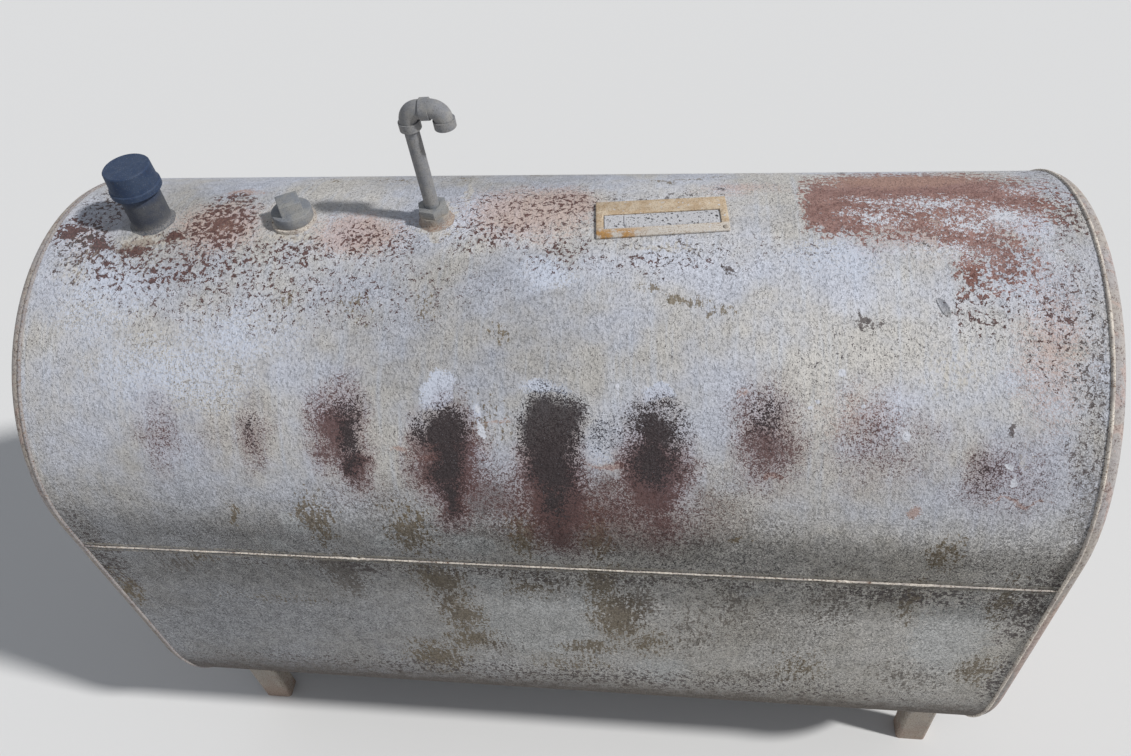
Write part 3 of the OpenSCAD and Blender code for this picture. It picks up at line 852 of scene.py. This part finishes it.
rimBead = {
    "radius": 0.0035,
    "step": 0.0019,
    "ripple": 0.0075,
    "rippleDepth": 0.14,
    "lumpScale": 90.0,
    "lumpDepth": 0.22,
}


# place and outward side at a way round the tank, from the front's lower axis up and over
def rimPlace(travel, arc, straight):
    if travel < straight:
        return Vector((0, -tankRadius, lowAxis + travel)), Vector((0, -1, 0))
    travel -= straight
    if travel < arc:
        angle = travel / tankRadius
        outward = Vector((0, -math.cos(angle), math.sin(angle)))
        return Vector((0, 0, highAxis)) + outward * tankRadius, outward
    travel -= arc
    if travel < straight:
        return Vector((0, tankRadius, highAxis - travel)), Vector((0, 1, 0))
    angle = (travel - straight) / tankRadius
    outward = Vector((0, math.cos(angle), -math.sin(angle)))
    return Vector((0, 0, lowAxis)) + outward * tankRadius, outward


def rimFrames(side):
    arc = math.pi * tankRadius
    straight = highAxis - lowAxis
    length = 2 * (arc + straight)
    steps = round(length / rimBead["step"])
    frames = []
    for step in range(steps):
        travel = length * step / steps
        place, outward = rimPlace(travel, arc, straight)
        place.x = side * tankEdge
        along = Vector((1, 0, 0)).cross(outward)
        frames.append(ringFrame(place, along, outward, knobbly(travel, place, rimBead)))
    return frames


for side, name in ((-1, "left"), (1, "right")):
    bead = dragBead("rim_bead_" + name, rimFrames(side), "weld_paint", closed=True)
    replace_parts(bead, "head_weld_" + name)

# each knot is a thicker place: where along the seam, and how far it reaches
seamBead = {
    "radius": 0.0034,
    "step": 0.002,
    "ripple": 0.0085,
    "rippleDepth": 0.16,
    "lumpScale": 80.0,
    "lumpDepth": 0.42,
    "thin": 0.72,
    "knots": [(0.57, 0.055), (0.46, 0.02), (-0.29, 0.03)],
    "sway": 0.0008,
    "swayScale": 30,
    "knotSway": 0.0022,
    "knotScale": 130,
}


def seamFrames(side):
    end = tankEdge - rimBead["radius"]
    steps = round(2 * end / seamBead["step"])
    frames = []
    for step in range(steps + 1):
        x = -end + 2 * end * step / steps
        sway = seamBead["sway"] * clouds.noise(Vector((x * seamBead["swayScale"], side, 0)))
        place = Vector((x, side * tankRadius, seamHeight + sway))
        knot = max(math.exp(-((x - middle) / reach) ** 2) for middle, reach in seamBead["knots"])
        size = knobbly(x, place, seamBead) * (seamBead["thin"] + (1.0 - seamBead["thin"]) * knot)
        place.z += seamBead["knotSway"] * knot * clouds.noise(Vector((x * seamBead["knotScale"], 7, 0)))
        frames.append(ringFrame(place, Vector((1, 0, 0)), Vector((0, side, 0)), size))
    return frames


for side, name in ((-1, "front"), (1, "back")):
    bead = dragBead("seam_bead_" + name, seamFrames(side), "weld_paint")
    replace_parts(bead, "seam_weld_" + name)
print("long beads are laid")


def crestHeight(y):
    return highAxis + math.sqrt(tankRadius ** 2 - y ** 2)


# plainReach is how far the frame's plain weld stands out from its pipe, and sink how deep this one starts
fillet = {
    "height": 0.0088,
    "spread": 0.0075,
    "ripple": 0.010,
    "rippleDepth": 0.05,
    "lumpScale": 120.0,
    "lumpDepth": 0.3,
    "plainReach": 0.0072,
    "sink": 0.0003,
    "columns": 120,
    "rows": 8,
}


# a smooth weld that climbs from the tank's round top up a pipe that leans by some degrees
def addFillet(name, nodeName, lean):
    low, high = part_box(nodeName)
    centre = (low.x + high.x) / 2
    inner = (high.y - low.y) / 2 - fillet["plainReach"]
    slope = math.tan(math.radians(lean))
    shape = bmesh.new()
    bmesh.ops.create_grid(shape, x_segments=fillet["columns"], y_segments=fillet["rows"], size=1.0)
    for vert in shape.verts:
        angle = math.pi * (vert.co.x + 1.0)
        bend = math.pi / 2 * (vert.co.y + 1.0) / 2.0
        ahead = Vector((math.cos(angle), math.sin(angle), 0))
        lump = 1.0 + fillet["lumpDepth"] * clouds.noise(ahead * inner * fillet["lumpScale"])
        wave = 0.5 - 0.5 * math.cos(math.tau * angle * inner / fillet["ripple"])
        grown = lump * (1.0 - fillet["rippleDepth"] * wave)
        out = inner - fillet["sink"] + fillet["spread"] * grown * (1.0 - math.sin(bend))
        lift = fillet["height"] * grown * (1.0 - math.cos(bend))
        place = Vector((centre, 0, 0)) + ahead * out
        height = crestHeight(place.y) - fillet["sink"] + lift
        vert.co = Vector((place.x - slope * lift, place.y, height))
    bmesh.ops.remove_doubles(shape, verts=shape.verts[:], dist=sameSpot)
    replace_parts(addPiece(name, shape, "fitting_paint"), nodeName)


addFillet("fill_fillet", "fill_weld", 0.0)
addFillet("vent_fillet", "vent_weld", 2.0)

legBead = {
    "radius": 0.0034,
    "ripple": 0.008,
    "rippleDepth": 0.15,
    "lumpScale": 120.0,
    "lumpDepth": 0.3,
    "corner": 0.006,
    "sink": 0.001,
    "flangeSteps": 13,
    "cornerSteps": 6,
    "faceSteps": 26,
    "segments": 8,
}


# the way round a leg's top seen from above: a flange, its corner, the face, then the same mirrored
def legRoute(low, high):
    outer = max(abs(low.y), abs(high.y))
    inner = min(abs(low.y), abs(high.y))
    corner = legBead["corner"]
    flange = outer - corner - inner
    face = high.x - low.x - 2 * corner
    half = []
    for step in range(legBead["flangeSteps"] + 1):
        half.append((low.x, inner + flange * step / legBead["flangeSteps"]))
    for step in range(1, legBead["cornerSteps"]):
        angle = math.pi / 2 * step / legBead["cornerSteps"]
        half.append((low.x + corner * (1 - math.cos(angle)), outer - corner + corner * math.sin(angle)))
    route = list(half)
    for step in range(legBead["faceSteps"] + 1):
        route.append((low.x + corner + face * step / legBead["faceSteps"], outer))
    for x, y in reversed(half):
        route.append((low.x + high.x - x, y))
    return route


def legFrames(nodeName):
    low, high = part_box(nodeName)
    side = 1 if low.y > 0 else -1
    places = []
    for x, y in legRoute(low, high):
        height = lowAxis - math.sqrt(tankRadius ** 2 - y ** 2) - legBead["sink"]
        places.append(Vector((x, side * y, height)))
    frames = []
    travel = 0.0
    for index, place in enumerate(places):
        before = places[max(index - 1, 0)]
        after = places[min(index + 1, len(places) - 1)]
        travel += (place - before).length
        frames.append(ringFrame(place, after - before, Vector((0, 0, -1)), knobbly(travel, place, legBead)))
    return frames


for nodeName in [name for name in nodes if name.startswith("leg_")]:
    beadName = nodeName.replace("leg_", "leg_bead_")
    dragBead(beadName, legFrames(nodeName), "weld_paint", segments=legBead["segments"])
print("fillets are laid")

rounding = {
    "widths": {"square_plug": 0.0013, "vent_bushing": 0.0009, "plate_frame": 0.0012},
    "segments": 2,
    "sharpAngle": 30,
    "flatAngle": 2,
    "sameSpot": 0.00002,
}


def foldsOver(edge, angle):
    return len(edge.link_faces) == 2 and edge.calc_face_angle() > angle


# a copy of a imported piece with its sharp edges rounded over
def addSoftened(nodeName, width):
    shape = bmesh.new()
    shape.from_mesh(nodes[nodeName].data)
    bmesh.ops.remove_doubles(shape, verts=shape.verts[:], dist=rounding["sameSpot"])
    flat = math.radians(rounding["flatAngle"])
    bmesh.ops.dissolve_limit(shape, angle_limit=flat, verts=shape.verts[:], edges=shape.edges[:])
    sharp = [edge for edge in shape.edges if foldsOver(edge, math.radians(rounding["sharpAngle"]))]
    bmesh.ops.bevel(shape, geom=sharp, offset=width, offset_type="OFFSET", segments=rounding["segments"],
                    profile=0.5, affect="EDGES", material=-1, clamp_overlap=True)
    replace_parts(addPiece("soft_" + nodeName, shape, slotOf[nodeName]), nodeName)


for nodeName, width in rounding["widths"].items():
    addSoftened(nodeName, width)
print("edges are rounded")

# each insert's left, right, front and back, and the rivet's place, are measured from the plate's middle
plate = {
    "x": 0.181,
    "y": 0.006,
    "turn": 5.0,
    "inserts": {
        "plate_insert": (-0.054, 0.0745, -0.0205, 0.0045),
        "plate_tab": (-0.0825, -0.056, -0.0225, 0.0065),
    },
    "insertHeight": 0.0027,
    "insertFoot": 0.0004,
    "insertEdge": 0.0006,
    "insertFold": 0.7,
    "dent": 0.0003,
    "dentScale": 60,
    "rivet": (0.089, -0.0345, 0.0036),
    "rivetRadius": 0.0042,
    "rivetRise": 0.0022,
}


# a place on the data plate, from its own length and width, at a height over the tank's round top
def onPlate(length, width, height):
    turn = math.radians(plate["turn"])
    x = plate["x"] + length * math.cos(turn) - width * math.sin(turn)
    y = plate["y"] + length * math.sin(turn) + width * math.cos(turn)
    return Vector((x, y, highAxis + math.sqrt((tankRadius + height) ** 2 - y ** 2)))


def addInsert(name, left, right, front, back):
    shape = bmesh.new()
    bmesh.ops.create_grid(shape, x_segments=40, y_segments=8, size=1.0)
    skirt = [edge for edge in shape.edges if edge.is_boundary]
    grown = bmesh.ops.extrude_edge_only(shape, edges=skirt)["geom"]
    foot = {item for item in grown if isinstance(item, bmesh.types.BMVert)}
    for vert in shape.verts:
        length = left + (right - left) * (vert.co.x + 1) / 2
        width = front + (back - front) * (vert.co.y + 1) / 2
        dent = Vector((length * plate["dentScale"], width * plate["dentScale"], 0))
        height = plate["insertHeight"] + plate["dent"] * clouds.noise(dent)
        vert.co = onPlate(length, width, plate["insertFoot"] if vert in foot else height)
    rim = [edge for edge in shape.edges if foldsOver(edge, plate["insertFold"])]
    bmesh.ops.bevel(shape, geom=rim, offset=plate["insertEdge"], segments=2, profile=0.5,
                    affect="EDGES", material=-1)
    addPiece(name, shape, "panel_paint")


def addRivet():
    shape = bmesh.new()
    bmesh.ops.create_uvsphere(shape, u_segments=20, v_segments=12, radius=1.0)
    centre = onPlate(*plate["rivet"])
    radius = plate["rivetRadius"]
    for vert in shape.verts:
        vert.co = centre + vert.co * Vector((radius, radius, plate["rivetRise"]))
    addPiece("plate_rivet", shape, "leg_paint")


for name, edges in plate["inserts"].items():
    addInsert(name, *edges)
addRivet()

paintFlake = {
    "x": 0.555,
    "way": 0.150,
    "length": 0.030,
    "width": 0.010,
    "thickness": 0.0004,
    "gap": 0.0004,
    "lift": 0.006,
    "curl": 1.6,
    "sameSpot": 0.00001,
    "turn": 62.0,
}


# a tongue of old paint that has come loose and curled up
def addFlake():
    shape = bmesh.new()
    bmesh.ops.create_grid(shape, x_segments=18, y_segments=8, size=1.0)
    turn = math.radians(paintFlake["turn"])
    for vert in shape.verts:
        along, across = vert.co.x, vert.co.y
        taper = (1 - along ** 2) ** 0.5 if abs(along) < 1 else 0.0
        length = along * paintFlake["length"] / 2
        width = across * taper * paintFlake["width"] / 2
        x = paintFlake["x"] + length * math.cos(turn) + width * math.sin(turn)
        angle = (paintFlake["way"] + length * math.sin(turn) - width * math.cos(turn)) / tankRadius
        lift = paintFlake["lift"] * ((across + 1) / 2 * taper) ** paintFlake["curl"]
        height = tankRadius + paintFlake["gap"] + lift
        vert.co = Vector((x, -height * math.sin(angle), highAxis + height * math.cos(angle)))
    bmesh.ops.remove_doubles(shape, verts=shape.verts[:], dist=paintFlake["sameSpot"])
    bmesh.ops.solidify(shape, geom=shape.faces[:], thickness=paintFlake["thickness"])
    addPiece("paint_flake", shape, "tank_paint")


addFlake()
print("small parts are in place")

# camera, from a fit of the tank's outline in the photograph
view = {
    "place": (0.22492, -1.07855, 2.05034),
    "yaw": -11.158,
    "pitch": 47.452,
    "roll": -7.118,
    "lens": 29.734,
    "sensor": 36.0,
}


def addCamera():
    lens = bpy.data.cameras.new("camera")
    lens.lens = view["lens"]
    lens.sensor_fit = "HORIZONTAL"
    lens.sensor_width = view["sensor"]
    camera = bpy.data.objects.new("camera", lens)
    bpy.context.scene.collection.objects.link(camera)
    turn = Matrix.Rotation(math.radians(-view["yaw"]), 4, "Z")
    tilt = Matrix.Rotation(math.radians(90 - view["pitch"]), 4, "X")
    roll = Matrix.Rotation(math.radians(view["roll"]), 4, "Z")
    camera.matrix_world = Matrix.Translation(view["place"]) @ turn @ tilt @ roll
    bpy.context.scene.camera = camera


# skyStrength is the light that the sky gives; straight to the camera it shows at full strength
studio = {
    "floor": (218, 217, 215),
    "floorSize": 60,
    "floorRoughness": 0.9,
    "sky": (232, 238, 248),
    "skyStrength": 0.37,
    "sunFrom": (0.71, -0.14, 0.69),
    "sunStrength": 3.25,
    "sunSoftness": 4.0,
}


def addSky():
    world = bpy.data.worlds.new("studio")
    bpy.context.scene.world = world
    world.use_nodes = True
    tree = world.node_tree
    tree.nodes.clear()
    seen = tree.nodes.new("ShaderNodeLightPath")
    direct = maths(tree, "MAXIMUM", seen.outputs["Is Camera Ray"], seen.outputs["Is Transmission Ray"])
    direct = maths(tree, "MAXIMUM", direct, seen.outputs["Is Glossy Ray"])
    extra = times(tree, direct, 1 - studio["skyStrength"])
    back = tree.nodes.new("ShaderNodeBackground")
    feed(tree, back.inputs["Color"], shade(studio["sky"]))
    feed(tree, back.inputs["Strength"], maths(tree, "ADD", extra, studio["skyStrength"]))
    output = tree.nodes.new("ShaderNodeOutputWorld")
    tree.links.new(back.outputs[0], output.inputs[0])


def addSun():
    lamp = bpy.data.lights.new("sun", "SUN")
    lamp.energy = studio["sunStrength"]
    lamp.angle = math.radians(studio["sunSoftness"])
    sun = bpy.data.objects.new("sun", lamp)
    bpy.context.scene.collection.objects.link(sun)
    sun.matrix_world = Vector(studio["sunFrom"]).to_track_quat("Z", "Y").to_matrix().to_4x4()


def addFloor():
    bpy.ops.mesh.primitive_plane_add(size=studio["floorSize"])
    floor = bpy.context.object
    floor.name = "floor"
    material, tree = newMaterial("paleFloor", studio["floorRoughness"])
    tree.nodes["Principled BSDF"].inputs["Base Color"].default_value = shade(studio["floor"])
    floor.data.materials.append(material)


bpy.context.scene.view_settings.view_transform = "Standard"
addCamera()
addSky()
addSun()
addFloor()
print("camera and studio are set")
